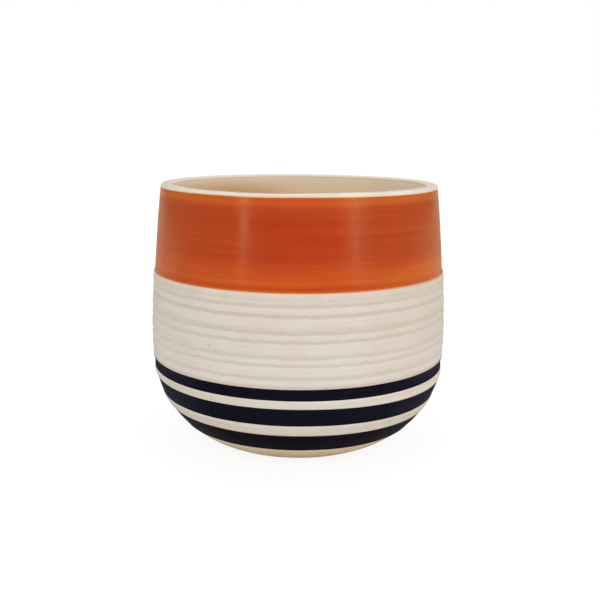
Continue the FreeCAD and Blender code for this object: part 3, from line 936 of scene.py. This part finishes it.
def navy_finish():
    """Matt navy colour with faint brush lines, darker in the lowest stripe, painted bluish sheen at
    the sides.
    """
    bench = Finish("navy_colour", Roughness=0.5, Specular_IOR_Level=0.08)
    lines = bench.brushed(waves=14.0, apart=0.8 * MM, seed=1.0)
    lines = bench.between(lines, *NOISE_SPREAD)
    colour = bench.tint(lines, *NAVY_SHADES)
    lowest = bench.between(bench.z, MIDDLE_STRIPE[0], LOWER_STRIPE[1], at_high=0.4)
    colour = bench.tint(lowest, colour, BLACK)
    to_side = bench.to_side(bench.from_axis(bench.place)[0])
    # Painted sheen: the navy is lightened and blued towards the sides.
    colour = bench.tint(bench.between(to_side, 0.55, 1.0, ease="LINEAR"), colour, PAINTED_SHEEN_NAVY)
    grain = bench.grain(0.6 * MM, seed=4.0)
    relief = bench.plus(bench.times(lines, 0.6), bench.times(grain, 0.4))
    return bench.cover(colour, relief, depth=0.03 * MM, strength=0.4)


navy = navy_finish()
for piece_name, node_name, low, high, seed in STRIPES:
    stripe_outline = softened(
        [(*wall(low, 0.0), STRIPE_ROUND)]
        + banded_rows(low + STRIPE_ROUND_ROOM, high - STRIPE_ROUND_ROOM, 0.0, apart=0.4 * MM)
        + [(*wall(high, 0.0), STRIPE_ROUND)]
        + banded_rows(low, high, SLIP_DEPTH, apart=0.6 * MM)[::-1]
    )
    turn_piece(piece_name, stripe_outline, navy, node_name, uneven=0.02 * MM,
               uneven_length=11 * MM, edge_wander=0.25 * MM, seed=seed)


# Lip glaze
# White satin glaze over the rounded lip. It is full and bright on top and lets the warm clay
# through where it thins over the two edges.
LIP_INNER_EDGE = 65 * MM
LIP_MIDDLE = 68.4 * MM
LIP_WHITES = ((0.7, 0.665, 0.59, 1), (0.755, 0.73, 0.665, 1))
LIP_CREAM = (0.64, 0.52, 0.38, 1)
LIP_WOBBLE = 0.6 * MM
OVERLAP_WAY = (-0.34, -0.94)
LAP_TANS = ((0.78, 0.69, 0.56, 1), (0.49, 0.33, 0.18, 1))
LAP_EDGES = (LIP_INNER_EDGE + 1 * MM, LIP_INNER_EDGE + 4.1 * MM)
LAP_SOFTNESS = 0.7 * MM
STAIN_TOPS = (ORANGE_EDGE + 0.6 * MM, ORANGE_EDGE + 0.95 * MM)
STAIN_AMBERS = ((0.74, 0.42, 0.14, 1), (0.78, 0.55, 0.18, 1))
RIGHT_HALF = (0.0, 60 * MM)


def lip_finish():
    """White satin glaze, warmer at the edges of the lip.

    The tan of the inside laps over its inner edge at the front left, and the orange stains the
    foot of it outside."""
    bench = Finish("white_glaze", Roughness=0.3, IOR=1.45)
    x = bench.x
    colour = bench.tint(bench.cloud(10 * MM, seed=2.0), *LIP_WHITES)
    outwards, across = bench.from_axis(bench.place)
    wobble = bench.times(bench.grain(4 * MM, seed=3.0), LIP_WOBBLE)
    across = bench.plus(across, wobble)
    cream = bench.between(across, LIP_MIDDLE + 0.9 * MM, LIP_MIDDLE - 0.6 * MM)
    cream_share = bench.between(bench.plus(x, bench.y), -10 * MM, 60 * MM, 0.35, 0.12)
    colour = bench.tint(bench.times(cream, cream_share), colour, LIP_CREAM)
    out_x, out_y, _ = bench.parts_of(outwards)
    to_overlap = bench.plus(bench.times(out_x, OVERLAP_WAY[0]), bench.times(out_y, OVERLAP_WAY[1]))
    overlap = bench.between(to_overlap, 0.76, 0.97)
    past_lap = bench.less(across, bench.blend(overlap, *LAP_EDGES))
    lapped = bench.between(past_lap, 0.0, -LAP_SOFTNESS)
    colour = bench.tint(lapped, colour, bench.tint(overlap, *LAP_TANS))
    stain_top = bench.between(x, -45 * MM, 0.0, *STAIN_TOPS)
    stain_share = bench.between(x, *RIGHT_HALF, 0.8, 0.6)
    stained = bench.between(bench.z, stain_top, ORANGE_EDGE, 0.0, stain_share, ease="LINEAR")
    amber = bench.tint(bench.between(x, *RIGHT_HALF), *STAIN_AMBERS)
    colour = bench.tint(stained, colour, amber)
    relief = bench.grain(2.5 * MM, seed=5.0)
    return bench.cover(colour, relief, depth=0.04 * MM, strength=0.4)


lip_over = [wall(ORANGE_EDGE, ORANGE_DEPTH)]
lip_over += lip_rows(ORANGE_DEPTH, WALL_THICKNESS, POT_HEIGHT, LIP_ROUND)
lip_skirt = [wall(ORANGE_BAND[1], slip_behind_orange), wall(ORANGE_EDGE, slip_behind_orange)]
turn_piece("lip_glaze_coat", lip_over + clay_over_lip[::-1] + lip_skirt, lip_finish(),
           "lip_glaze", uneven=0.05 * MM, uneven_length=14 * MM, seed=6.0)


# Liner glaze
# The satin tan glaze poured inside to make the pot watertight. It shows the wheel's soft rings,
# and runs a little thicker and deeper in colour towards the floor.
LINER_TANS = ((0.85, 0.765, 0.635, 1), (0.89, 0.805, 0.675, 1))
DEEPER_TAN = (0.845, 0.675, 0.45, 1)
PAINTED_SHADE_TAN = (0.62, 0.4, 0.19, 1)
PAINTED_LIGHT_TAN = (0.96, 0.86, 0.68, 1)
DEEPER_BELOW = (122 * MM, 130 * MM)
SHADE_ON_LEFT = (5 * MM, -40 * MM)
LIGHT_ON_RIGHT = (0.0, 55 * MM)


def liner_finish():
    """Satin tan glaze, deeper in colour lower down, painted shade at the left and painted light at
    the right.
    """
    bench = Finish("inside_glaze", Roughness=0.35, IOR=1.45)
    colour = bench.tint(bench.cloud(16 * MM, seed=4.0, detail=3.0), *LINER_TANS)
    deeper = bench.between(bench.z, *DEEPER_BELOW, 1.0, 0.0, ease="LINEAR")
    colour = bench.tint(deeper, colour, DEEPER_TAN)
    # Painted shade: a deeper tan at the left, lower down.
    left_shade = bench.between(bench.x, *SHADE_ON_LEFT)
    colour = bench.tint(bench.times(left_shade, deeper), colour, PAINTED_SHADE_TAN)
    # Painted light: the tan is paled at the right.
    right_light = bench.between(bench.x, *LIGHT_ON_RIGHT, at_high=0.5)
    colour = bench.tint(right_light, colour, PAINTED_LIGHT_TAN)
    rings = bench.brushed(waves=8.0, apart=3 * MM, seed=2.0)
    return bench.cover(colour, rings, depth=0.08 * MM, strength=0.3)


liner_inside = inside_rows(WALL_THICKNESS, FLOOR_HEIGHT, apart=1.5 * MM)
liner_behind = inside_rows(clay_inside, clay_floor, apart=4 * MM)[::-1]
turn_piece("liner_glaze_coat", liner_behind + liner_inside, liner_finish(),
           "liner_glaze", closed=False, uneven=0.10 * MM,
           uneven_length=25 * MM, seed=8.0)


# Floor and light
# A plain white sheet under the pot, which keeps a faint shadow at the foot, in a tent of soft
# white light. Two upright strip lamps in front show as reflections on the glaze, and a wide faint
# one shows round the right-hand one.
FLOOR_HALF = 3.0
FLOOR_LEVEL = -0.05 * MM
FLOOR_GREY = (0.87, 0.87, 0.87, 1)
FLOOR_SEEN_GREY = (0.13, 0.13, 0.13, 1)
FLOOR_GLOW = 0.89
MIRRORED_FLOOR_BEHIND = (0.05, 0.45, 0.06, 0.58)
MIRRORED_FLOOR_NEAR = (0.28, 0.18, 0.0, 0.35)
FLOOR_MIRROR_SHADES = ((1, 0.74, 0.52, 1), (0.5, 0.75, 1, 1))
TENT_LOW = 0.68
TENT_HIGH = 1.30
FRONT_AND_BACK = 0.10
RIGHT_OVER_LEFT = 0.10
MIRRORED_TENT = (0.65, 1.0, 0.03, 0.60)
WHITE = (1, 1, 1, 1)
MIRRORED_WARM = (1, 0.82, 0.64, 1)
LAMP_DISTANCE = 0.8
LAMP_HEIGHT = 0.9
LAMP_FOOT = 0.085
LAMPS = (("left_strip_lamp", -41.2, 0.060, 3.6), ("right_strip_lamp", 42.6, 0.110, 2.0),
         ("right_fill_lamp", 42.6, 0.300, 0.60))


def bench_of(block):
    """A bench for the nodes of a material or a world, which is emptied first."""
    block.use_nodes = True
    block.node_tree.nodes.clear()
    return Bench(block.node_tree)


def kinds_of_ray(bench):
    """Whether a ray is the camera's, for which all is white, and whether it is a reflection's."""
    rays = bench.node("ShaderNodeLightPath").outputs
    seen = bench.sum("MAXIMUM", rays["Is Camera Ray"], rays["Is Transmission Ray"])
    return seen, rays["Is Glossy Ray"]


floor_mesh = bpy.data.meshes.new("floor")
corners = [(across * FLOOR_HALF, along * FLOOR_HALF, FLOOR_LEVEL)
           for across, along in ((-1, -1), (1, -1), (1, 1), (-1, 1))]
floor_mesh.from_pydata(corners, [], [(0, 1, 2, 3)])
floor = bpy.data.objects.new("floor", floor_mesh)
scene.collection.objects.link(floor)
floor_sheet = bpy.data.materials.new("floor_sheet")
bench = bench_of(floor_sheet)
seen, glossy = kinds_of_ray(bench)
floor_place = bench.node("ShaderNodeTexCoord").outputs["Object"]
behind = bench.between(bench.parts_of(floor_place)[1], *MIRRORED_FLOOR_BEHIND)
near_pot = bench.between(bench.vector_sum("LENGTH", floor_place), *MIRRORED_FLOOR_NEAR)
mirror = {0: bench.tint(near_pot, *FLOOR_MIRROR_SHADES),
          1: bench.sum("MAXIMUM", behind, near_pot)}
grey = bench.out("ShaderNodeBsdfDiffuse", {0: FLOOR_GREY})
seen_grey = bench.out("ShaderNodeBsdfDiffuse", {0: FLOOR_SEEN_GREY})
glow = bench.out("ShaderNodeEmission", {0: WHITE, 1: FLOOR_GLOW})
mirrored_sheet = bench.out("ShaderNodeEmission", mirror)
white_sheet = bench.out("ShaderNodeAddShader", {0: seen_grey, 1: glow})
sheet = bench.out("ShaderNodeMixShader", {0: glossy, 1: grey, 2: mirrored_sheet})
sheet = bench.out("ShaderNodeMixShader", {0: seen, 1: sheet, 2: white_sheet})
bench.node("ShaderNodeOutputMaterial", {0: sheet})
floor_mesh.materials.append(floor_sheet)

world = bpy.data.worlds.new("light_tent")
scene.world = world
bench = bench_of(world)
seen, glossy = kinds_of_ray(bench)
way = bench.node("ShaderNodeTexCoord").outputs["Generated"]
way_x, way_y, way_z = bench.parts_of(way)
tent = bench.between(way_z, 0.0, 1.0, TENT_LOW, TENT_HIGH, ease="LINEAR")
lengthways = bench.less(bench.sum("POWER", way_y, 2.0), bench.sum("POWER", way_x, 2.0))
tent = bench.plus(tent, bench.times(lengthways, FRONT_AND_BACK))
tent = bench.plus(tent, bench.times(way_x, RIGHT_OVER_LEFT))
strength = bench.blend(glossy, tent, bench.between(way_y, *MIRRORED_TENT))
light = {0: bench.tint(glossy, WHITE, MIRRORED_WARM), 1: bench.blend(seen, strength, 1.0)}
bench.node("ShaderNodeOutputWorld", {0: bench.out("ShaderNodeBackground", light)})

for lamp_name, bearing, width, glow in LAMPS:
    lamp_data = bpy.data.lights.new(lamp_name, "AREA")
    lamp_data.shape = "RECTANGLE"
    lamp_data.size = width
    lamp_data.size_y = LAMP_HEIGHT
    lamp_data.energy = glow * pi * width * LAMP_HEIGHT
    lamp = bpy.data.objects.new(lamp_name, lamp_data)
    turn = radians(bearing)
    lamp.location = (LAMP_DISTANCE * sin(turn), -LAMP_DISTANCE * cos(turn),
                     LAMP_HEIGHT / 2 + LAMP_FOOT)
    lamp.rotation_euler = (pi / 2, 0, turn)
    lamp.visible_camera = False
    scene.collection.objects.link(lamp)
